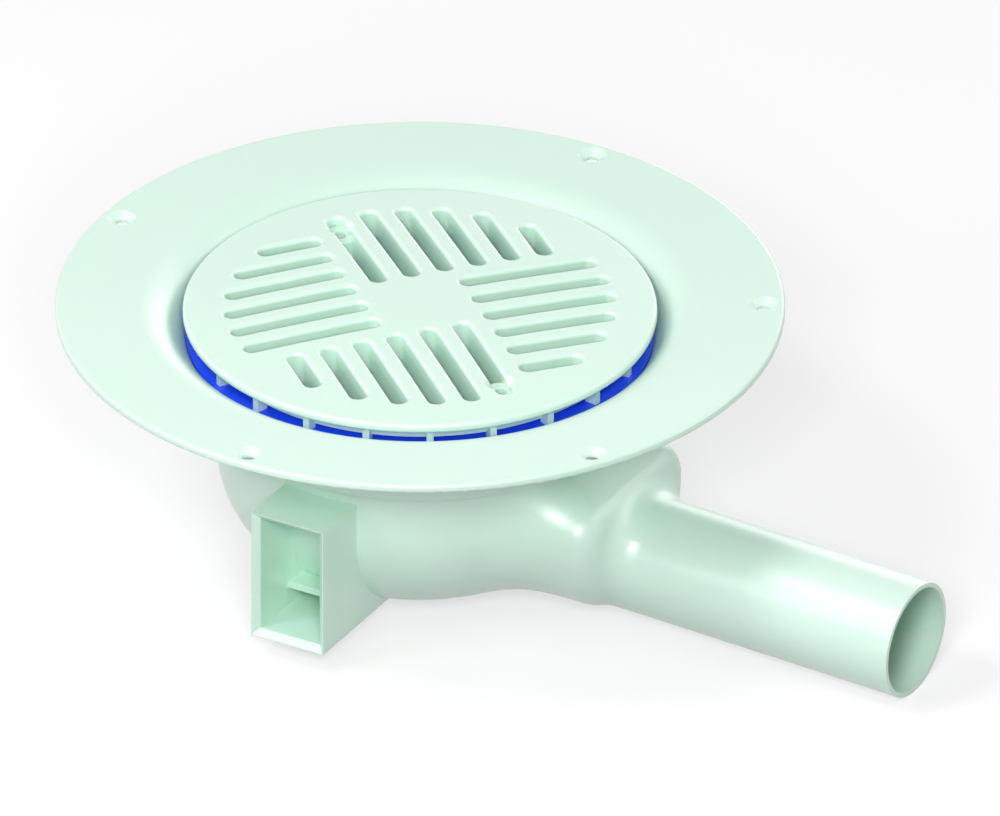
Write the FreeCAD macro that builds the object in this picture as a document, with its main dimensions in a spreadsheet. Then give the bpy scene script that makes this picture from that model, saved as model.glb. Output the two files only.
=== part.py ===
import FreeCAD
import Part
import Sketcher
import math
import os
import re

# Round floor drain with a side outlet, in millimetres.
# The origin is the centre of the flange's top edge plane, +Z is up and +X runs along the outlet.
# Depths are counted downwards from that plane.

SIZES = (
    ("flange_radius", 152.0, "outside of the fixing flange"),
    ("flange_thick", 4.0, "flange at its edge"),
    ("flange_fall", 2.0, "degrees that the flange's top falls towards the grate"),
    ("flange_edge_round", 1.4, "rounding of the flange's edge"),
    ("flange_screw_edge", 9.0, "fixing holes in from the flange's edge"),
    ("flange_screw_hole", 5.5, "fixing hole through the flange"),
    ("flange_screw_head", 12.0, "countersink of a fixing hole"),
    ("flange_screw_sink", 2.4, "depth of that countersink"),
    ("wall", 3.2, "moulded wall"),
    ("ledge_width", 10.9, "ledge from the bowl's outside to the collar's wall"),
    ("collar_depth", 39.4, "underside of the collar"),
    ("collar_edge_round", 3.0, "lower edge of the collar"),
    ("funnel_round", 24.0, "rounding from the flange down into the collar"),
    ("bowl_radius", 84.6, "outside of the bowl"),
    ("bowl_depth", 113.0, "underside of the bowl"),
    ("bowl_round", 45.5, "rounding of the bowl's foot"),
    ("weir_height", 39.0, "sill over which water leaves, above the bowl's underside"),
    ("chamber_length", 21.6, "outlet chamber beyond the bowl"),
    ("chamber_width", 86.0, "outlet chamber across"),
    ("chamber_height", 58.4, "outlet chamber from its underside to its top"),
    ("chamber_lift", 0.6, "outlet chamber above the bowl's underside"),
    ("chamber_top_round", 15.0, "upper edges of the outlet chamber"),
    ("chamber_flat", 1.8, "flat left across the trough-shaped underside of the chamber"),
    ("chamber_end_round", 13.0, "edges of the outlet chamber's end wall"),
    ("chamber_blend", 60.0, "hollow between the bowl and the chamber"),
    ("outlet_diameter", 50.0, "outside of the outlet pipe"),
    ("outlet_wall", 2.0, "outlet pipe wall"),
    ("outlet_slope", 2.0, "degrees that the outlet falls"),
    ("outlet_lift", 28.2, "outlet axis above the bowl's underside, at the drain's middle"),
    ("outlet_overlap", 14.2, "outlet's round inner end behind the chamber's end wall"),
    ("outlet_length", 132.2, "outlet beyond the chamber's end wall, along its axis"),
    ("outlet_blend", 14.0, "hollow between the chamber and the pipe"),
    ("outlet_draft", 0.2, "extra radius of the pipe at its inner end"),
    ("socket_width", 34.4, "bracket socket across"),
    ("socket_height", 58.8, "bracket socket from its underside to its top"),
    ("socket_lift", 4.0, "bracket socket above the bowl's underside"),
    ("socket_length", 26.0, "bracket socket beyond the bowl"),
    ("socket_wall", 3.0, "bracket socket wall"),
    ("socket_lead", 2.6, "lead-in chamfer at the socket's mouth"),
    ("shelf_lift", 13.6, "top of the stop shelf above the socket's underside"),
    ("shelf_thick", 3.0, "stop shelf"),
    ("ring_depth", 14.5, "top of the clamp ring, the seat of the grate"),
    ("ring_thick", 3.2, "top plate of the clamp ring"),
    ("ring_lip", 8.6, "clamp ring's plate inside its sleeve"),
    ("sleeve_wall", 3.0, "sleeve of the clamp ring"),
    ("lug_width", 17.0, "screw lug of the clamp ring"),
    ("lug_pilot", 4.0, "pilot hole in a screw lug"),
    ("fit_gap", 0.4, "clearance round the loose pieces"),
    ("gasket_thick", 2.0, "gasket under the trap insert"),
    ("trap_thick", 2.6, "trap insert wall"),
    ("trap_rim", 6.0, "height of the trap insert's rim"),
    ("trap_dish", 12.0, "fall of the trap insert's dish"),
    ("trap_tube", 46.0, "bore of the dip tube"),
    ("trap_lift", 14.0, "lower end of the dip tube above the bowl's underside"),
    ("trap_grip", 5.0, "width of the lifting bar"),
    ("grate_overhang", 3.3, "grate's edge beyond the collar's wall"),
    ("grate_edge", 4.0, "grate at its edge"),
    ("grate_drop", 1.8, "grate's edge below the flange's edge"),
    ("grate_dome", 2.9, "rise of the grate's middle"),
    ("grate_edge_round", 1.5, "rounding of the grate's edge"),
    ("skirt_inset", 8.8, "skirt in from the grate's edge"),
    ("skirt_wall", 2.4, "skirt wall"),
    ("skirt_depth", 12.2, "lower edge of the skirt"),
    ("rib_inset", 4.4, "outer end of a foot rib in from the grate's edge"),
    ("rib_thick", 2.9, "foot rib"),
    ("rib_turn", 7.5, "degrees to the first foot rib"),
    ("slot_turn", 49.6, "degrees that the slot pattern is turned"),
    ("slot_width", 7.1, "grate slot"),
    ("slot_pitch", 14.66, "grate slot to the next"),
    ("slot_shift", 9.6, "first slot beside the middle line"),
    ("slot_start", 21.4, "inner ends of the slots"),
    ("slot_inset", 17.2, "circle of the outer slot ends in from the grate's edge"),
    ("slot_wall", 2.0, "wall round a slot"),
    ("slot_edge_round", 1.8, "rounded upper slot edges"),
    ("grate_screw_inset", 9.1, "grate screw hole in from the circle of the slot ends"),
    ("grate_screw_hole", 5.5, "grate screw hole"),
    ("grate_screw_head", 11.8, "countersink of a grate screw hole"),
    ("boss_diameter", 15.0, "screw boss under the grate"),
    ("boss_top", 5.0, "top of the screw boss"),
)
FOLLOWING_SIZES = (
    ("flange_screw_radius", "flange_radius - flange_screw_edge", "circle of the fixing holes"),
    ("collar_radius", "bowl_radius + ledge_width", "inside of the collar under the flange"),
    ("weir_depth", "bowl_depth - weir_height", "sill over which the bowl's water leaves"),
    ("chamber_reach", "bowl_radius + chamber_length", "end wall of the outlet chamber"),
    ("chamber_depth", "bowl_depth - chamber_lift", "underside of the outlet chamber"),
    ("chamber_top", "chamber_depth - chamber_height", "top of the outlet chamber"),
    ("outlet_depth", "bowl_depth - outlet_lift", "outlet axis below the drain's middle"),
    ("outlet_root", "chamber_reach - outlet_overlap", "round inner end of the outlet, along its axis"),
    ("outlet_spigot", "chamber_reach + outlet_blend + wall", "start of the plain spigot, along its axis"),
    ("outlet_end", "chamber_reach + outlet_length", "open end of the outlet, along its axis"),
    ("socket_depth", "bowl_depth - socket_lift", "underside of the bracket socket"),
    ("socket_top", "socket_depth - socket_height", "top of the bracket socket"),
    ("socket_reach", "bowl_radius + socket_length", "mouth of the bracket socket"),
    ("shelf_depth", "socket_depth - shelf_lift", "stop shelf inside the socket"),
    ("ring_inner", "collar_radius - fit_gap - sleeve_wall - ring_lip", "opening of the clamp ring"),
    ("trap_depth", "bowl_depth - trap_lift", "lower end of the dip tube"),
    ("grate_radius", "collar_radius + grate_overhang", "outside of the grate"),
    ("skirt_radius", "grate_radius - skirt_inset", "skirt under the grate"),
    ("rib_reach", "grate_radius - rib_inset", "outer end of a foot rib"),
    ("slot_reach", "grate_radius - slot_inset", "circle of the outer slot ends"),
    ("grate_screw_reach", "slot_reach - grate_screw_inset", "grate screw hole along its slot"),
)
SLOTS_IN_GROUP = 6
SLOT_GROUPS = 4
FOOT_RIBS = 22
FLANGE_SCREW_ANGLES = (30, 90, 180, 270, 330)
TOUCH = 0.002
EDGE_SAMPLES = (0.1, 0.3, 0.5, 0.7, 0.9)

# Heights and radii that follow from the driving sizes.
COLLAR_OUTER = "(collar_radius + wall)"
LEDGE = "(wall - collar_depth)"
BOWL_INNER = "(bowl_radius - wall)"
FUNNEL_CENTRE = "(collar_radius + funnel_round)"
FUNNEL_DEPTH = f"((flange_radius - {FUNNEL_CENTRE}) * tan(flange_fall) + funnel_round / cos(flange_fall))"
FLANGE_DISH = "(flange_radius * tan(flange_fall))"
RING_EDGE = (
    f"({FUNNEL_CENTRE} - fit_gap"
    f" - sqrt(funnel_round ^ 2 - ({FUNNEL_DEPTH} - ring_depth) ^ 2))"
)
SLEEVE_OUTER = "(collar_radius - fit_gap)"
SLEEVE_INNER = f"({SLEEVE_OUTER} - sleeve_wall)"
TRAP_OUTER = f"({SLEEVE_INNER} - fit_gap)"
TRAP_SEAT = f"({LEDGE} + gasket_thick)"
GRATE_UNDER = "(0 - grate_drop - grate_edge)"
SLOT_FOOT = "(ring_depth - fit_gap)"
SOCKET_INNER = "(socket_width / 2 - socket_wall)"
SCREW_SINK = "((grate_screw_head - grate_screw_hole) / 2)"

doc = FreeCAD.newDocument("floor_drain")
sheet = doc.addObject("Spreadsheet::Sheet", "Sizes")
ALL_SIZES = SIZES + FOLLOWING_SIZES
for row, (alias, size, meaning) in enumerate(ALL_SIZES, 1):
    sheet.set(f"A{row}", meaning)
    sheet.set(f"B{row}", f"={size}")
    sheet.setAlias(f"B{row}", alias)
    doc.recompute()
ALIASES = {alias for alias, size, meaning in ALL_SIZES}


def formula(text):
    """Name the sheet in front of every size in an expression."""
    return re.sub(r"[a-z]\w*", lambda word: f"Sizes.{word[0]}" if word[0] in ALIASES else word[0], text)


def value(text):
    return float(sheet.evalExpression(formula(text)))


def bind(thing, **texts):
    for name, text in texts.items():
        thing.setExpression(name.replace("__", "."), formula(text))


def turn_about_z(thing, text):
    thing.Placement.Rotation = FreeCAD.Rotation(FreeCAD.Vector(0, 0, 1), value(text))
    bind(thing, Placement__Rotation__Angle=text)


# Sketches

def new_body(name):
    return doc.addObject("PartDesign::Body", name)


def new_sketch(body, name, role, level="0"):
    sketch = body.newObject("Sketcher::SketchObject", name)
    plane = next(part for part in body.Origin.OriginFeatures if part.Role == role)
    sketch.AttachmentSupport = [(plane, "")]
    sketch.MapMode = "FlatFace"
    bind(sketch, AttachmentOffset__Base__z=level)
    return sketch


def pin(sketch, element, end, x, y):
    for kind, text in (("DistanceX", x), ("DistanceY", y)):
        held = sketch.addConstraint(Sketcher.Constraint(kind, -1, 1, element, end, value(text)))
        bind(sketch, **{f"Constraints[{held}]": text})


def outline(sketch, corners, domed=None):
    """Join corners by lines; the stretch after corner number domed is an arc centred on the axis."""
    points = [FreeCAD.Vector(value(x), value(y), 0) for x, y in corners]
    for number, start in enumerate(points):
        end = points[(number + 1) % len(points)]
        if number == domed:
            rise = start.y - end.y
            radius = (end.x ** 2 + rise ** 2) / (2 * rise)
            centre = FreeCAD.Vector(0, start.y - radius, 0)
            circle = Part.Circle(centre, FreeCAD.Vector(0, 0, 1), radius)
            edge_angle = math.atan2(end.y - centre.y, end.x)
            sketch.addGeometry(Part.ArcOfCircle(circle, edge_angle, math.pi / 2))
            sketch.addConstraint(Sketcher.Constraint("PointOnObject", number, 3, -2))
        else:
            sketch.addGeometry(Part.LineSegment(start, end))
    for number in range(len(points)):
        following = (number + 1) % len(points)
        leaving = 1 if number == domed else 2
        arriving = 2 if following == domed else 1
        sketch.addConstraint(Sketcher.Constraint("Coincident", number, leaving, following, arriving))
        pin(sketch, following, arriving, *corners[following])


def rounded_slot(sketch, x, low, high, width):
    """An upright slot with round ends, its end centres at low and high."""
    half = value(width) / 2
    ends = [FreeCAD.Vector(value(x), value(y), 0) for y in (low, high)]
    upwards = FreeCAD.Vector(0, 0, 1)
    lower = sketch.addGeometry(Part.ArcOfCircle(Part.Circle(ends[0], upwards, half), math.pi, 2 * math.pi))
    upper = sketch.addGeometry(Part.ArcOfCircle(Part.Circle(ends[1], upwards, half), 0, math.pi))
    side = FreeCAD.Vector(half, 0, 0)
    right = sketch.addGeometry(Part.LineSegment(ends[0] + side, ends[1] + side))
    left = sketch.addGeometry(Part.LineSegment(ends[1] - side, ends[0] - side))
    for first, first_end, second, second_end in (
        (lower, 2, right, 1), (right, 2, upper, 1), (upper, 2, left, 1), (left, 2, lower, 1),
    ):
        sketch.addConstraint(Sketcher.Constraint("Tangent", first, first_end, second, second_end))
    pin(sketch, lower, 3, x, low)
    pin(sketch, upper, 3, x, high)
    held = sketch.addConstraint(Sketcher.Constraint("Radius", lower, half))
    bind(sketch, **{f"Constraints[{held}]": f"({width}) / 2"})


def round_hole(sketch, x, y, diameter):
    centre = FreeCAD.Vector(value(x), value(y), 0)
    circle = sketch.addGeometry(Part.Circle(centre, FreeCAD.Vector(0, 0, 1), value(diameter) / 2))
    pin(sketch, circle, 3, x, y)
    held = sketch.addConstraint(Sketcher.Constraint("Diameter", circle, value(diameter)))
    bind(sketch, **{f"Constraints[{held}]": diameter})


# Features of a body

def turned(name, corners, domed=None):
    body = new_body(name)
    sketch = new_sketch(body, f"{name}_profile", "XZ_Plane")
    outline(sketch, corners, domed)
    turning = body.newObject("PartDesign::Revolution", f"{name}_turning")
    turning.Profile = sketch
    turning.ReferenceAxis = (sketch, ["V_Axis"])
    turning.Angle = 360
    doc.recompute()
    return body


def pad(body, sketch, length):
    feature = body.newObject("PartDesign::Pad", f"{sketch.Name}_pad")
    feature.Profile = sketch
    bind(feature, Length=length)
    doc.recompute()
    return feature


def cut_through(body, sketch):
    feature = body.newObject("PartDesign::Pocket", f"{sketch.Name}_cut")
    feature.Profile = sketch
    feature.Type = "ThroughAll"
    feature.Midplane = True
    doc.recompute()
    return feature


def polar(body, feature, count):
    pattern = body.newObject("PartDesign::PolarPattern", f"{feature.Name}_ring")
    pattern.Originals = [feature]
    pattern.Axis = (next(part for part in body.Origin.OriginFeatures if part.Role == "Z_Axis"), [""])
    pattern.Angle = 360
    pattern.Occurrences = count
    body.Tip = pattern
    doc.recompute()
    return pattern


def samples(edge):
    first, last = edge.ParameterRange
    return [edge.valueAt(first + (last - first) * share) for share in EDGE_SAMPLES]


def on_ring(radius, height):
    """Choose the edges that run round the drain's axis at this radius and height."""
    def chosen(edge):
        return all(
            abs(math.hypot(point.x, point.y) - value(radius)) < TOUCH and abs(point.z - value(height)) < TOUCH
            for point in samples(edge)
        )
    return chosen


def on_both(first, second):
    """Choose the edges in which the surfaces of two solids meet."""
    skins = [Part.Compound(solid.Shape.Faces) for solid in (first, second)]

    def chosen(edge):
        spots = [Part.Vertex(point) for point in samples(edge)]
        return all(skin.distToShape(spot)[0] < TOUCH for spot in spots for skin in skins)
    return chosen


def edge_numbers(shape, chosen):
    return [number for number, edge in enumerate(shape.Edges, 1) if chosen(edge)]


def soften(body, name, radius, chosen):
    base = body.Tip
    feature = body.newObject("PartDesign::Fillet", name)
    feature.Base = (base, [f"Edge{number}" for number in edge_numbers(base.Shape, chosen)])
    bind(feature, Radius=radius)
    doc.recompute()


# Solids joined by boolean operations

def block(name, x, y, z):
    """A box between two expressions on each axis."""
    box = doc.addObject("Part::Box", name)
    bind(
        box,
        Length=f"{x[1]} - ({x[0]})", Width=f"{y[1]} - ({y[0]})", Height=f"{z[1]} - ({z[0]})",
        Placement__Base__x=x[0], Placement__Base__y=y[0], Placement__Base__z=z[0],
    )
    doc.recompute()
    return box


def joined(name, *pieces):
    union = doc.addObject("Part::MultiFuse", name)
    union.Shapes = list(pieces)
    union.Refine = True
    doc.recompute()
    return union


def without(name, base, *tools):
    tool = tools[0] if len(tools) == 1 else joined(f"{name}_tools", *tools)
    rest = doc.addObject("Part::Cut", name)
    rest.Base = base
    rest.Tool = tool
    doc.recompute()
    return rest


def filleted(name, base, radius, chosen, kind="Part::Fillet"):
    rounded = doc.addObject(kind, name)
    rounded.Base = base
    size = value(radius)
    rounded.Edges = [(number, size, size) for number in edge_numbers(base.Shape, chosen)]
    doc.recompute()
    return rounded


def along_outlet(height):
    """Choose the long straight edges at this height."""
    def chosen(edge):
        straight = edge.BoundBox.YLength < TOUCH
        return straight and all(abs(point.z - value(height)) < TOUCH for point in samples(edge))
    return chosen


def at_reach(x):
    def chosen(edge):
        return all(abs(point.x - value(x)) < TOUCH for point in samples(edge))
    return chosen


def rounded_chamber(name, inset):
    """The outlet chamber, a trough with a lid and an end wall, drawn in by inset."""
    reach = f"(chamber_reach - {inset})"
    half = f"(chamber_width / 2 - {inset})"
    top = f"(0 - chamber_top - {inset})"
    low = f"({inset} - chamber_depth)"
    box = block(f"{name}_box", ("0", reach), (f"0 - {half}", half), (low, top))
    trough = filleted(f"{name}_trough", box, f"{half} - chamber_flat / 2", along_outlet(low))
    lid = filleted(f"{name}_lid", trough, f"chamber_top_round - {inset}", along_outlet(top))
    return filleted(name, lid, f"chamber_end_round - {inset}", at_reach(reach))


def on_outlet(kind, name, start, **texts):
    """A round solid on the sloping outlet axis."""
    piece = doc.addObject(kind, name)
    piece.Placement.Rotation = FreeCAD.Rotation(FreeCAD.Vector(0, 1, 0), 90 + value("outlet_slope"))
    bind(
        piece,
        Placement__Base__x=f"{start} * cos(outlet_slope)",
        Placement__Base__z=f"0 - outlet_depth - {start} * sin(outlet_slope)",
        Placement__Rotation__Angle="90 + outlet_slope",
        **texts,
    )
    return piece


def outlet_outside():
    """A pipe with a round inner end and a slight taper up to its plain spigot."""
    plain = "outlet_diameter / 2"
    inner = f"{plain} + outlet_draft"
    return joined(
        "outlet_outside",
        on_outlet("Part::Sphere", "outlet_root_outside", "outlet_root", Radius=inner),
        on_outlet(
            "Part::Cone", "outlet_taper", "outlet_root",
            Radius1=inner, Radius2=plain, Height="outlet_spigot - outlet_root",
        ),
        on_outlet(
            "Part::Cylinder", "outlet_plain", "outlet_spigot",
            Radius=plain, Height="outlet_end - outlet_spigot",
        ),
    )


def outlet_inside():
    bore = "outlet_diameter / 2 - outlet_wall"
    return joined(
        "outlet_inside",
        on_outlet("Part::Sphere", "outlet_root_inside", "outlet_root", Radius=bore),
        on_outlet(
            "Part::Cylinder", "outlet_bore", "outlet_root",
            Radius=bore, Height="outlet_end + wall - outlet_root",
        ),
    )


def screw_cutter(name, angle):
    """A countersunk hole through the flange, whose cone runs on past the sloping surface."""
    tools = []
    for kind, suffix in (("Part::Cylinder", "hole"), ("Part::Cone", "sink")):
        tool = doc.addObject(kind, f"{name}_{suffix}")
        bind(
            tool,
            Placement__Base__x=f"flange_screw_radius * cos({angle})",
            Placement__Base__y=f"flange_screw_radius * sin({angle})",
        )
        tools.append(tool)
    hole, sink = tools
    bind(
        hole,
        Radius="flange_screw_hole / 2", Height="3 * flange_thick",
        Placement__Base__z="0 - 2 * flange_thick",
    )
    surface = "((flange_screw_radius - flange_radius) * tan(flange_fall))"
    bind(
        sink,
        Radius1="flange_screw_hole / 2", Radius2="flange_screw_head - flange_screw_hole / 2",
        Height="2 * flange_screw_sink", Placement__Base__z=f"{surface} - flange_screw_sink",
    )
    return tools


# Drain body: flange, funnel, collar, bowl, outlet chamber, outlet pipe and bracket socket in one moulding

def make_drain_body():
    bowl = turned("bowl_outside", (
        ("0", "0 - bowl_depth"),
        ("bowl_radius", "0 - bowl_depth"),
        ("bowl_radius", "0 - collar_depth"),
        ("0", "0 - collar_depth"),
    ))
    soften(bowl, "bowl_foot", "bowl_round", on_ring("bowl_radius", "0 - bowl_depth"))
    chamber = rounded_chamber("chamber_outside", "0")
    bowl_and_chamber = joined("bowl_and_chamber", bowl, chamber)
    blended = filleted("chamber_blended", bowl_and_chamber, "chamber_blend", on_both(bowl, chamber))
    pipe = outlet_outside()
    with_pipe = joined("with_outlet", blended, pipe)
    outlet = filleted("outlet_blended", with_pipe, "outlet_blend", on_both(blended, pipe))

    flange = turned("flange_and_collar", (
        ("0", "0 - collar_depth"),
        (COLLAR_OUTER, "0 - collar_depth"),
        (COLLAR_OUTER, "0 - flange_thick"),
        ("flange_radius", "0 - flange_thick"),
        ("flange_radius", "0"),
        ("0", f"0 - {FLANGE_DISH}"),
    ))
    soften(flange, "funnel_outside", "funnel_round - wall", on_ring(COLLAR_OUTER, "0 - flange_thick"))
    soften(flange, "collar_edge", "collar_edge_round", on_ring(COLLAR_OUTER, "0 - collar_depth"))

    bowl_void = turned("bowl_inside", (
        ("0", "wall - bowl_depth"),
        (BOWL_INNER, "wall - bowl_depth"),
        (BOWL_INNER, LEDGE),
        ("collar_radius", LEDGE),
        ("collar_radius", "flange_thick"),
        ("0", "flange_thick"),
    ))
    soften(bowl_void, "bowl_foot_inside", "bowl_round - wall", on_ring(BOWL_INNER, "wall - bowl_depth"))

    across = ("0 - flange_radius", "flange_radius")
    weir = without("weir", bowl, block("above_weir", across, across, ("0 - weir_depth", "0")))
    chamber_void = rounded_chamber("chamber_inside", "wall")
    outlet_void = without("outlet_void", joined("chamber_and_bore", chamber_void, outlet_inside()), weir)

    moulded = without("hollowed", joined("outside", outlet, flange, make_socket()), bowl_void, outlet_void)
    mouth = f"({FLANGE_DISH} - collar_radius * tan(flange_fall))"
    funnel = filleted("funnel", moulded, "funnel_round", on_ring("collar_radius", f"0 - {mouth}"))
    upper = filleted("flange_edge_top", funnel, "flange_edge_round", on_ring("flange_radius", "0"))
    lower = filleted("flange_edge", upper, "flange_edge_round", on_ring("flange_radius", "0 - flange_thick"))
    cutters = []
    for number, angle in enumerate(FLANGE_SCREW_ANGLES, 1):
        cutters += screw_cutter(f"flange_screw_{number}", angle)
    return without("drain_body", lower, *cutters)


def make_socket():
    """A square sleeve for a fixing bracket, open at its mouth, with a stop shelf against the bowl."""
    root = "0 - bowl_radius + bowl_round"
    half = "(socket_width / 2)"
    outside = block(
        "socket_outside", (f"0 - {half}", half), ("0 - socket_reach", root),
        ("0 - socket_depth", "0 - socket_top"),
    )
    inside = block(
        "socket_inside", (f"0 - {SOCKET_INNER}", SOCKET_INNER), ("0 - socket_reach - wall", "0"),
        ("socket_wall - socket_depth", "0 - socket_top - socket_wall"),
    )
    sleeve = without("socket_sleeve", outside, inside)

    def at_mouth(edge):
        return all(
            abs(point.y + value("socket_reach")) < TOUCH
            and abs(point.x) < value(SOCKET_INNER) + TOUCH
            and point.z > value("socket_wall - socket_depth") - TOUCH
            and point.z < TOUCH - value("socket_top + socket_wall")
            for point in samples(edge)
        )

    led_in = filleted("socket_lead_in", sleeve, "socket_lead", at_mouth, "Part::Chamfer")
    shelf = block(
        "socket_shelf", (f"0 - {SOCKET_INNER}", SOCKET_INNER), ("0 - bowl_radius", root),
        ("0 - shelf_depth - shelf_thick", "0 - shelf_depth"),
    )
    return joined("socket", led_in, shelf)


# Clamp ring: a plate that carries the grate, a sleeve that stands on the collar's ledge, two screw lugs

def make_clamp_ring():
    plate_under = "(0 - ring_depth - ring_thick)"
    body = turned("clamp_ring", (
        ("ring_inner", "0 - ring_depth"),
        ("ring_inner", plate_under),
        (SLEEVE_INNER, plate_under),
        (SLEEVE_INNER, LEDGE),
        (SLEEVE_OUTER, LEDGE),
        (SLEEVE_OUTER, f"{plate_under} - ring_thick / 2"),
        (RING_EDGE, "0 - ring_depth"),
    ))
    turn_about_z(body, "slot_turn")
    lug = new_sketch(body, "screw_lug", "XY_Plane", plate_under)
    far = f"(({SLEEVE_INNER} + ring_inner) / 2)"
    rounded_slot(lug, "0 - slot_shift", "grate_screw_reach", f"{far} - lug_width / 2", "lug_width")
    polar(body, pad(body, lug, "ring_thick"), 2)
    pilot = new_sketch(body, "screw_pilot", "XY_Plane")
    round_hole(pilot, "0 - slot_shift", "grate_screw_reach", "lug_pilot")
    polar(body, cut_through(body, pilot), 2)
    return body


# Trap: a gasket on the ledge and a dished insert whose tube dips into the bowl's water

def make_trap_gasket():
    return turned("trap_gasket", (
        (f"{BOWL_INNER} + fit_gap", LEDGE),
        (TRAP_OUTER, LEDGE),
        (TRAP_OUTER, TRAP_SEAT),
        (f"{BOWL_INNER} + fit_gap", TRAP_SEAT),
    ))


def make_trap_insert():
    bore = "(trap_tube / 2)"
    dish_edge = f"({BOWL_INNER} - fit_gap)"
    bottom = f"({TRAP_SEAT} - trap_dish)"
    body = turned("trap_insert", (
        (bore, "0 - trap_depth"),
        (f"{bore} + trap_thick", "0 - trap_depth"),
        (f"{bore} + trap_thick", f"{bottom} - trap_thick"),
        (dish_edge, f"{TRAP_SEAT} - trap_thick"),
        (dish_edge, TRAP_SEAT),
        (TRAP_OUTER, TRAP_SEAT),
        (TRAP_OUTER, f"{TRAP_SEAT} + trap_rim"),
        (f"{TRAP_OUTER} - trap_thick", f"{TRAP_SEAT} + trap_rim"),
        (f"{TRAP_OUTER} - trap_thick", f"{TRAP_SEAT} + trap_thick"),
        (dish_edge, f"{TRAP_SEAT} + trap_thick"),
        (bore, bottom),
    ))
    bar = new_sketch(body, "lifting_bar", "XY_Plane", f"{bottom} - trap_thick")
    outline(bar, (
        ("0 - trap_tube / 2 - trap_thick / 2", "0 - trap_grip / 2"),
        ("trap_tube / 2 + trap_thick / 2", "0 - trap_grip / 2"),
        ("trap_tube / 2 + trap_thick / 2", "trap_grip / 2"),
        ("0 - trap_tube / 2 - trap_thick / 2", "trap_grip / 2"),
    ))
    pad(body, bar, "trap_dish")
    return body


# Grate: a domed plate with four groups of slots, a skirt, foot ribs and two screw bosses

def slot_group(body, name, level, widening):
    sketch = new_sketch(body, name, "XY_Plane", level)
    for number in range(SLOTS_IN_GROUP):
        beside = f"({number} * slot_pitch - slot_shift)"
        inner = "slot_start + slot_width / 2"
        outer = f"sqrt((slot_reach - slot_width / 2) ^ 2 - {beside} ^ 2)"
        rounded_slot(sketch, beside, inner, outer, f"slot_width + 2 * {widening}")
    return sketch


def make_grate():
    skirt_inner = "(skirt_radius - skirt_wall)"
    body = turned("grate", (
        ("0", "grate_dome - grate_drop"),
        ("grate_radius", "0 - grate_drop"),
        ("grate_radius", GRATE_UNDER),
        ("skirt_radius", GRATE_UNDER),
        ("skirt_radius", "0 - skirt_depth"),
        (skirt_inner, "0 - skirt_depth"),
        (skirt_inner, GRATE_UNDER),
        ("0", GRATE_UNDER),
    ), domed=0)
    soften(body, "grate_edge_top", "grate_edge_round", on_ring("grate_radius", "0 - grate_drop"))
    soften(body, "grate_edge_low", "grate_edge_round", on_ring("grate_radius", GRATE_UNDER))
    turn_about_z(body, "slot_turn")

    walls = slot_group(body, "slot_walls", f"0 - {SLOT_FOOT}", "slot_wall")
    polar(body, pad(body, walls, f"{SLOT_FOOT} + {GRATE_UNDER} + grate_edge / 2"), SLOT_GROUPS)
    slots = slot_group(body, "slots", "0", "0")
    polar(body, cut_through(body, slots), SLOT_GROUPS)

    def upper_slot_edge(edge):
        return all(
            point.z > value("0 - grate_drop") and math.hypot(point.x, point.y) < value("slot_reach") + TOUCH
            for point in samples(edge)
        )

    soften(body, "slot_edges", "slot_edge_round", upper_slot_edge)

    boss = new_sketch(body, "screw_boss", "XY_Plane", "0 - ring_depth")
    round_hole(boss, "0 - slot_shift", "grate_screw_reach", "boss_diameter")
    polar(body, pad(body, boss, "ring_depth - boss_top"), 2)
    hole = new_sketch(body, "screw_hole", "XY_Plane")
    round_hole(hole, "0 - slot_shift", "grate_screw_reach", "grate_screw_hole")
    polar(body, cut_through(body, hole), 2)
    sink = body.newObject("PartDesign::SubtractiveCone", "screw_sink")
    bind(
        sink,
        Radius1="grate_screw_hole / 2", Radius2="grate_screw_head / 2 + grate_drop",
        Height=f"{SCREW_SINK} + grate_drop",
        Placement__Base__x="0 - slot_shift", Placement__Base__y="grate_screw_reach",
        Placement__Base__z=f"0 - grate_drop / 2 - {SCREW_SINK}",
    )
    doc.recompute()
    polar(body, sink, 2)

    rib = new_sketch(body, "foot_rib", "XY_Plane", "0 - ring_depth")
    rib.AttachmentOffset.Rotation = FreeCAD.Rotation(FreeCAD.Vector(0, 0, 1), value("rib_turn"))
    bind(rib, AttachmentOffset__Rotation__Angle="rib_turn")
    rib_start = "skirt_radius - skirt_wall / 2"
    outline(rib, (
        (rib_start, "0 - rib_thick / 2"),
        ("rib_reach", "0 - rib_thick / 2"),
        ("rib_reach", "rib_thick / 2"),
        (rib_start, "rib_thick / 2"),
    ))
    polar(body, pad(body, rib, f"ring_depth + {GRATE_UNDER} + grate_edge / 2"), FOOT_RIBS)
    return body


parts = {
    "drain_body": make_drain_body(),
    "clamp_ring": make_clamp_ring(),
    "trap_gasket": make_trap_gasket(),
    "trap_insert": make_trap_insert(),
    "grate": make_grate(),
}
doc.recompute()

for thing in doc.Objects:
    if "Invalid" in thing.State or "Error" in thing.State:
        raise RuntimeError(f"{thing.Name} could not be built: {thing.State}")
for node, piece in parts.items():
    piece.Label = node
    if piece.Shape.isNull() or not piece.Shape.isValid() or len(piece.Shape.Solids) != 1:
        raise RuntimeError(f"{node} is not one sound solid")

os.makedirs("parts", exist_ok=True)
for node, piece in parts.items():
    piece.Shape.exportStep(f"parts/{node}.step")
    print(node, round(piece.Shape.Volume / 1000, 1), "cm3", len(piece.Shape.Faces), "faces")
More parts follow.
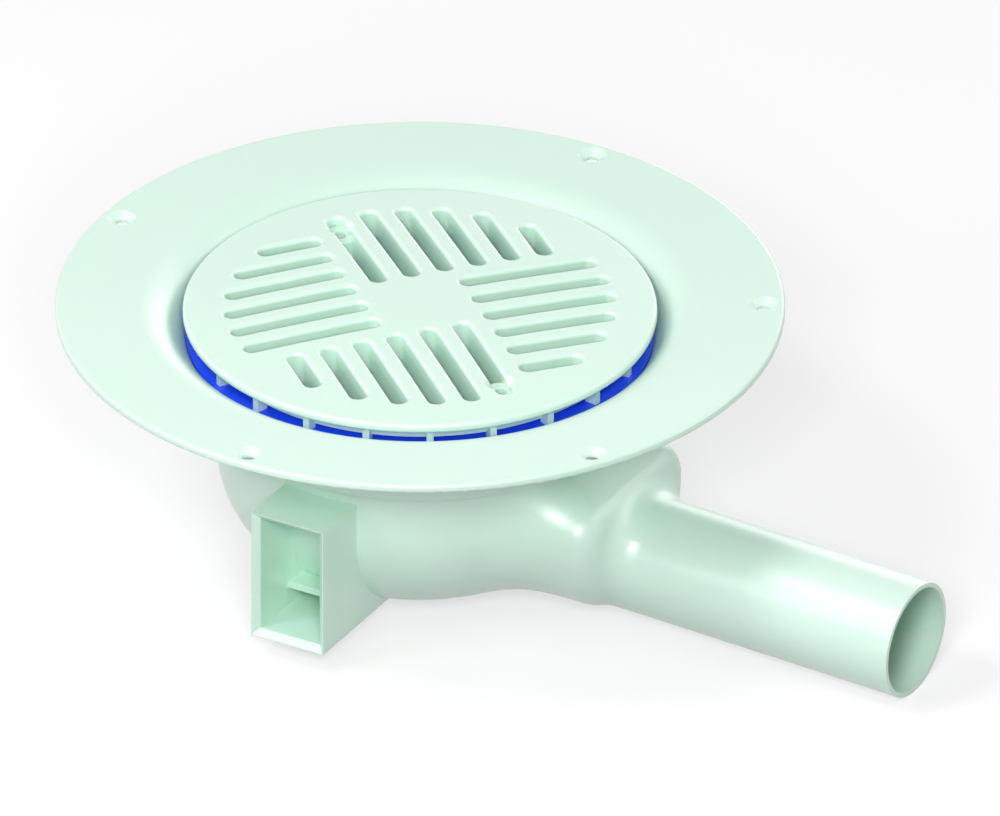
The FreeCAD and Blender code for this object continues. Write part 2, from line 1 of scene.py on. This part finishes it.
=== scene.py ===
# %% [markdown]
# # A round floor drain with a side outlet
# The drain is a family of satin plastic mouldings: a pale mint body with a wide flange, a slotted
# grate that lifts out, a bright blue ring under it and a hidden water trap. Their true shapes are
# already solids, so nothing is modelled over them. This lesson is about looking at them well: a
# parallel camera, lamps that reach into the deep places, and finishes that look moulded and not
# painted on.

# %% Load the solids as a fixed frame
import math

import bmesh
import bpy
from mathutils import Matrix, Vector


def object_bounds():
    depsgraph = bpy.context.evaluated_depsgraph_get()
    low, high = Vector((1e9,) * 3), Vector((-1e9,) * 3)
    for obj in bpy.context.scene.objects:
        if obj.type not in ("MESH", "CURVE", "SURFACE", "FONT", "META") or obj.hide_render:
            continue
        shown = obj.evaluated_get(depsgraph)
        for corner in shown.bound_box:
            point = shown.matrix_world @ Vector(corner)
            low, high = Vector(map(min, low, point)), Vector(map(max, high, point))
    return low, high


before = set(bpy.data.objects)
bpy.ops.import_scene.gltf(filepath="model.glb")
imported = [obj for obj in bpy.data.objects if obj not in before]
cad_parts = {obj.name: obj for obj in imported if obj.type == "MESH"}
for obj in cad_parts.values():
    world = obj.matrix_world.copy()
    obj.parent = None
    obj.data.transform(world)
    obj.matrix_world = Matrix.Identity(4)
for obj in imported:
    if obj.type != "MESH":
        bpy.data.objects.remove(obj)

MM_PER_METRE = 1000


def in_mm(point):
    return [round(MM_PER_METRE * place) for place in point]


SOLID_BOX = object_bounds()
scene = bpy.context.scene
print("pieces:", ", ".join(sorted(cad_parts)))
print("solid box in mm:", [in_mm(corner) for corner in SOLID_BOX])

# %% [markdown]
# The picture has no perspective: the flange's ellipse is exactly half as high as it is wide, and the
# two sides of the outlet pipe stay parallel. A very long lens from far away would come close to that,
# but an orthographic camera is exact, and one number sets its scale. The ratio of the ellipse says
# that the camera looks down by 30 degrees, and the direction of the pipe says that it stands 30
# degrees round from the front. The pipe's 50 mm then set the scale.

# %% Camera
PICTURE_WIDTH = 1000
PICTURE_HEIGHT = 816
PIXELS_PER_METRE = 2403
FLANGE_CENTRE_PIXEL = (420, 303.2)
AZIMUTH = math.radians(30)
ELEVATION = math.radians(30)
CAMERA_DISTANCE = 1.6

to_right = Vector((math.cos(AZIMUTH), math.sin(AZIMUTH), 0))
to_camera = Vector((
    math.sin(AZIMUTH) * math.cos(ELEVATION),
    -math.cos(AZIMUTH) * math.cos(ELEVATION),
    math.sin(ELEVATION),
))
to_top = to_camera.cross(to_right)
aim = (
    to_right * (PICTURE_WIDTH / 2 - FLANGE_CENTRE_PIXEL[0])
    - to_top * (PICTURE_HEIGHT / 2 - FLANGE_CENTRE_PIXEL[1])
) / PIXELS_PER_METRE

camera = bpy.data.objects.new("camera", bpy.data.cameras.new("camera"))
camera.data.type = "ORTHO"
camera.data.ortho_scale = PICTURE_WIDTH / PIXELS_PER_METRE
camera.location = aim + to_camera * CAMERA_DISTANCE
camera.rotation_euler = to_camera.to_track_quat("Z", "Y").to_euler()
scene.collection.objects.link(camera)
scene.camera = camera
scene.view_settings.view_transform = "Standard"
print("camera aims at", in_mm(aim), "mm")

# %% [markdown]
# The drain stands on plain white. A white sheet under strong lamps would give that, but the same
# lamps would wash out the pale plastic. So the sheet glows a little where it is seen directly, which
# keeps it white and its shadow light. A Light Path node tells which rays come from the camera, from
# a mirror or through glass. For all other rays the sheet is a plain grey one that throws some light
# up under the bowl.

# %% Finish of the floor
FLOOR_GLOW = 0.62
FLOOR_SEEN_COLOUR = (0.4, 0.4, 0.4, 1)
FLOOR_COLOUR = (0.35, 0.35, 0.35, 1)


def new_material(name):
    material = bpy.data.materials.new(name)
    material.use_nodes = True
    material.node_tree.nodes.clear()
    return material, material.node_tree


def seen_directly(tree):
    """One for rays from the camera, from a mirror or through glass, and nought for all others."""
    path = tree.nodes.new("ShaderNodeLightPath")
    total = path.outputs["Is Camera Ray"]
    for ray in ("Is Glossy Ray", "Is Transmission Ray"):
        larger = tree.nodes.new("ShaderNodeMath")
        larger.operation = "MAXIMUM"
        tree.links.new(total, larger.inputs[0])
        tree.links.new(path.outputs[ray], larger.inputs[1])
        total = larger.outputs["Value"]
    return total


def floor_finish():
    material, tree = new_material("white_floor")
    sheet = tree.nodes.new("ShaderNodeBsdfDiffuse")
    sheet.inputs["Color"].default_value = FLOOR_COLOUR
    shadow = tree.nodes.new("ShaderNodeBsdfDiffuse")
    shadow.inputs["Color"].default_value = FLOOR_SEEN_COLOUR
    glow = tree.nodes.new("ShaderNodeEmission")
    glow.inputs["Strength"].default_value = FLOOR_GLOW
    lit = tree.nodes.new("ShaderNodeAddShader")
    chosen = tree.nodes.new("ShaderNodeMixShader")
    output = tree.nodes.new("ShaderNodeOutputMaterial")
    tree.links.new(shadow.outputs["BSDF"], lit.inputs[0])
    tree.links.new(glow.outputs["Emission"], lit.inputs[1])
    tree.links.new(seen_directly(tree), chosen.inputs[0])
    tree.links.new(sheet.outputs["BSDF"], chosen.inputs[1])
    tree.links.new(lit.outputs["Shader"], chosen.inputs[2])
    tree.links.new(chosen.outputs["Shader"], output.inputs["Surface"])
    return material


white_floor = floor_finish()
print("finish", white_floor.name, "glows with a strength of", FLOOR_GLOW)

# %% [markdown]
# A studio sheet usually curves up behind the object. Here the camera looks down and everything in
# its view is floor, so one flat square is enough. It lies at the drain's lowest point, the end of
# the outlet, and is so wide that its edges stay out of the picture.

# %% Floor
FLOOR_HALF_WIDTH = 3.0

mesh = bmesh.new()
bmesh.ops.create_grid(mesh, x_segments=1, y_segments=1, size=FLOOR_HALF_WIDTH)
bmesh.ops.translate(mesh, verts=mesh.verts, vec=(0, 0, SOLID_BOX[0].z))
floor = bpy.data.objects.new("floor", bpy.data.meshes.new("floor"))
mesh.to_mesh(floor.data)
mesh.free()
floor.data.materials.append(white_floor)
scene.collection.objects.link(floor)
print("floor at", round(MM_PER_METRE * SOLID_BOX[0].z, 1), "mm")

# %% [markdown]
# Satin plastic is seen mostly by what it reflects, and this drain has deep places that light must
# reach. One wide lamp overhead would leave them dark, so six white lamps share the work. The
# strongest shines from the camera's own direction, so whatever the camera sees is lit, also under
# the flange and inside the socket. A wide one on the left mirrors in the pipe as a long highlight.
# A high one shines down into the slots and a low one reaches the bowl's left side. Two stand behind
# the drain: one for the top of the outlet chamber, and one for the back of the bowl, kept low so
# that the level faces don't mirror it.

# %% Lamps
LAMPS = {
    "camera_lamp": {"from": (0.65, -1.125, 0.75), "size": 0.4, "watts": 13},
    "pipe_lamp": {"from": (-0.69, -1.2, 0.8), "size": 0.6, "watts": 5.6},
    "slot_lamp": {"from": (-0.53, -0.67, 1.36), "size": 0.5, "watts": 7.6},
    "left_lamp": {"from": (-1.45, 0.1, 0.55), "size": 0.6, "watts": 3},
    "back_lamp": {"from": (0.95, 0.95, 0.85), "size": 0.8, "watts": 4},
    "rear_lamp": {"from": (-0.25, 1.6, 0.35), "size": 0.8, "watts": 4.5},
}


def add_lamp(name, place, size, watts):
    """A round area lamp that shines on the flange's centre."""
    lamp = bpy.data.objects.new(name, bpy.data.lights.new(name, "AREA"))
    lamp.data.shape = "DISK"
    lamp.data.size = size
    lamp.data.energy = watts
    lamp.location = place
    lamp.rotation_euler = Vector(place).to_track_quat("Z", "Y").to_euler()
    scene.collection.objects.link(lamp)
    print(name, watts, "W from", place)


for name, lamp in LAMPS.items():
    add_lamp(name, lamp["from"], lamp["size"], lamp["watts"])

# %% [markdown]
# A pale sky softens the shadows of the lamps. A picture of a room could stand there, but it would
# tint the plastic, so the sky is one even white. Towards the drain it is weak, so that the lamps
# still shape it, and seen directly it is as white as the floor. Deep pale hollows, such as the slots
# and the socket, are lit mostly by their own walls, so light may bounce there more often than
# Blender's usual four times.

# %% Sky
SKY_STRENGTH = 0.25
SKY_SEEN_STRENGTH = 1
SKY_COLOUR = (1, 1, 1, 1)
WALL_TO_WALL_BOUNCES = 12

scene.cycles.diffuse_bounces = WALL_TO_WALL_BOUNCES
scene.world = bpy.data.worlds.new("sky")
scene.world.use_nodes = True
sky = scene.world.node_tree
strength = sky.nodes.new("ShaderNodeMix")
strength.inputs["A"].default_value = SKY_STRENGTH
strength.inputs["B"].default_value = SKY_SEEN_STRENGTH
sky.links.new(seen_directly(sky), strength.inputs["Factor"])
sky.links.new(strength.outputs["Result"], sky.nodes["Background"].inputs["Strength"])
sky.nodes["Background"].inputs["Color"].default_value = SKY_COLOUR
print("sky lights the drain with a strength of", SKY_STRENGTH)

# %% [markdown]
# Injection-moulded plastic is never perfectly even. The steel mould leaves a very fine grain, the
# melt leaves broad, faint streaks where it flowed, and handling leaves a slight unevenness in the
# gloss. Every piece needs all three, so they are one node group that each finish feeds with its own
# values. First come its sockets.

# %% Sockets of the moulded skin
SKIN_INPUTS = {
    "Colour": "NodeSocketColor",
    "Streak Colour": "NodeSocketColor",
    "Least Roughness": "NodeSocketFloat",
    "Most Roughness": "NodeSocketFloat",
    "Grain": "NodeSocketFloat",
}
SKIN_OUTPUTS = {
    "Colour": "NodeSocketColor",
    "Roughness": "NodeSocketFloat",
    "Normal": "NodeSocketVector",
}

moulded_skin = bpy.data.node_groups.new("moulded_skin", "ShaderNodeTree")
for name, kind in SKIN_INPUTS.items():
    moulded_skin.interface.new_socket(name, in_out="INPUT", socket_type=kind)
for name, kind in SKIN_OUTPUTS.items():
    moulded_skin.interface.new_socket(name, in_out="OUTPUT", socket_type=kind)
given = moulded_skin.nodes.new("NodeGroupInput")
result = moulded_skin.nodes.new("NodeGroupOutput")
print("group", moulded_skin.name, "turns", len(SKIN_INPUTS), "values into", len(SKIN_OUTPUTS))

# %% [markdown]
# The three marks could be painted as pictures, but those need seams and stretch over a funnel. Noise
# fills space, so it runs over every edge without a seam. It reads Object coordinates, which here are
# metres, so each pattern has a real size: streaks of 60 mm, patches of gloss of 25 mm and a grain of
# about a millimetre that stands a tenth of a millimetre high at most.

# %% Patterns of the moulded skin
STREAK_SIZE = 0.06
STREAK_DETAIL = 3
GLOSS_SIZE = 0.025
GLOSS_DETAIL = 4
GRAIN_SIZE = 0.0012
GRAIN_DETAIL = 2
GRAIN_HEIGHT = 0.0001
NOISE_LOW = 0.3
NOISE_HIGH = 0.7

place = moulded_skin.nodes.new("ShaderNodeTexCoord").outputs["Object"]


def noise(size, detail):
    """A cloud pattern whose blotches are about size metres across."""
    cloud = moulded_skin.nodes.new("ShaderNodeTexNoise")
    cloud.inputs["Scale"].default_value = 1 / size
    cloud.inputs["Detail"].default_value = detail
    moulded_skin.links.new(place, cloud.inputs["Vector"])
    return cloud.outputs["Fac"]


streaks = moulded_skin.nodes.new("ShaderNodeMix")
streaks.data_type = "RGBA"
moulded_skin.links.new(noise(STREAK_SIZE, STREAK_DETAIL), streaks.inputs["Factor"])
moulded_skin.links.new(given.outputs["Colour"], streaks.inputs["A"])
moulded_skin.links.new(given.outputs["Streak Colour"], streaks.inputs["B"])
moulded_skin.links.new(streaks.outputs["Result"], result.inputs["Colour"])

gloss = moulded_skin.nodes.new("ShaderNodeMapRange")
gloss.inputs["From Min"].default_value = NOISE_LOW
gloss.inputs["From Max"].default_value = NOISE_HIGH
moulded_skin.links.new(noise(GLOSS_SIZE, GLOSS_DETAIL), gloss.inputs["Value"])
moulded_skin.links.new(given.outputs["Least Roughness"], gloss.inputs["To Min"])
moulded_skin.links.new(given.outputs["Most Roughness"], gloss.inputs["To Max"])
moulded_skin.links.new(gloss.outputs["Result"], result.inputs["Roughness"])

grain = moulded_skin.nodes.new("ShaderNodeBump")
grain.inputs["Distance"].default_value = GRAIN_HEIGHT
moulded_skin.links.new(noise(GRAIN_SIZE, GRAIN_DETAIL), grain.inputs["Height"])
moulded_skin.links.new(given.outputs["Grain"], grain.inputs["Strength"])
moulded_skin.links.new(grain.outputs["Normal"], result.inputs["Normal"])
print("group", moulded_skin.name, "has", len(moulded_skin.nodes), "nodes")

# %% [markdown]
# Most of the drain is a mint white plastic. A plain diffuse colour would look like chalk. Some
# subsurface scattering lets light a few millimetres into the walls, so that they glow at their edges
# instead of going grey. The highlights on the pipe are broad, soft and bright at once. A satin base
# makes them broad, and a coat over it makes them bright. Values that are the same all over the piece
# go straight to the shader's own sockets.

# %% Pale plastic
def finish(name, colour, streak_colour, roughness, grain, even_values):
    """A Principled shader fed by the moulded skin, with even values on its own sockets."""
    material, tree = new_material(name)
    skin = tree.nodes.new("ShaderNodeGroup")
    skin.node_tree = moulded_skin
    skin.inputs["Colour"].default_value = (*colour, 1)
    skin.inputs["Streak Colour"].default_value = (*streak_colour, 1)
    skin.inputs["Least Roughness"].default_value = roughness[0]
    skin.inputs["Most Roughness"].default_value = roughness[1]
    skin.inputs["Grain"].default_value = grain
    shader = tree.nodes.new("ShaderNodeBsdfPrincipled")
    for socket, value in even_values.items():
        shader.inputs[socket].default_value = value
    output = tree.nodes.new("ShaderNodeOutputMaterial")
    tree.links.new(skin.outputs["Colour"], shader.inputs["Base Color"])
    tree.links.new(skin.outputs["Roughness"], shader.inputs["Roughness"])
    tree.links.new(skin.outputs["Normal"], shader.inputs["Normal"])
    tree.links.new(shader.outputs["BSDF"], output.inputs["Surface"])
    print("finish", name, "with a roughness of", roughness)
    return material


pale_plastic = finish(
    "pale_plastic",
    colour=(0.65, 0.84, 0.74),
    streak_colour=(0.62, 0.85, 0.72),
    roughness=(0.4, 0.46),
    grain=0.02,
    even_values={
        "IOR": 1.5,
        "Coat Weight": 1.0,
        "Coat Roughness": 0.38,
        "Coat IOR": 1.7,
        "Subsurface Weight": 0.25,
        "Subsurface Radius": (0.8, 1, 0.9),
        "Subsurface Scale": 0.004,
    },
)

# %% [markdown]
# The ring is the same kind of plastic, dyed a strong blue. It shows only through the gap under the
# grate's edge, in deep shade. A lamp for it alone would spoil the grate, so its colour is as strong
# as a dye can be. It is opaque and needs no scattering, and its gloss is a little sharper.

# %% Blue plastic
blue_plastic = finish(
    "blue_plastic",
    colour=(0.012, 0.08, 1.0),
    streak_colour=(0.012, 0.07, 0.96),
    roughness=(0.29, 0.34),
    grain=0.02,
    even_values={"IOR": 1.5},
)

# %% [markdown]
# The gasket under the trap is black rubber. Rubber differs from plastic mostly in its dullness, so
# the same skin serves with a high roughness and a coarse grain. Its colour is a dark grey, because
# nothing real is quite black and pure black would show no form.

# %% Seal rubber
seal_rubber = finish(
    "seal_rubber",
    colour=(0.03, 0.03, 0.03),
    streak_colour=(0.04, 0.04, 0.04),
    roughness=(0.6, 0.75),
    grain=0.3,
    even_values={},
)

# %% [markdown]
# A piece may have one slot for each of its finishes, but a moulding is the same all over, so its
# slots are emptied and one material goes in. The body, the grate and the trap insert are moulded
# from one plastic. They share its material, and a change to it shows on all three.

# %% Dress the pieces
FINISH_OF = {
    "drain_body": pale_plastic,
    "grate": pale_plastic,
    "trap_insert": pale_plastic,
    "clamp_ring": blue_plastic,
    "trap_gasket": seal_rubber,
}

for node, material in FINISH_OF.items():
    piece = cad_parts[node]
    piece.data.materials.clear()
    piece.data.materials.append(material)
    print(node, "wears", material.name, "on", len(piece.data.polygons), "triangles")
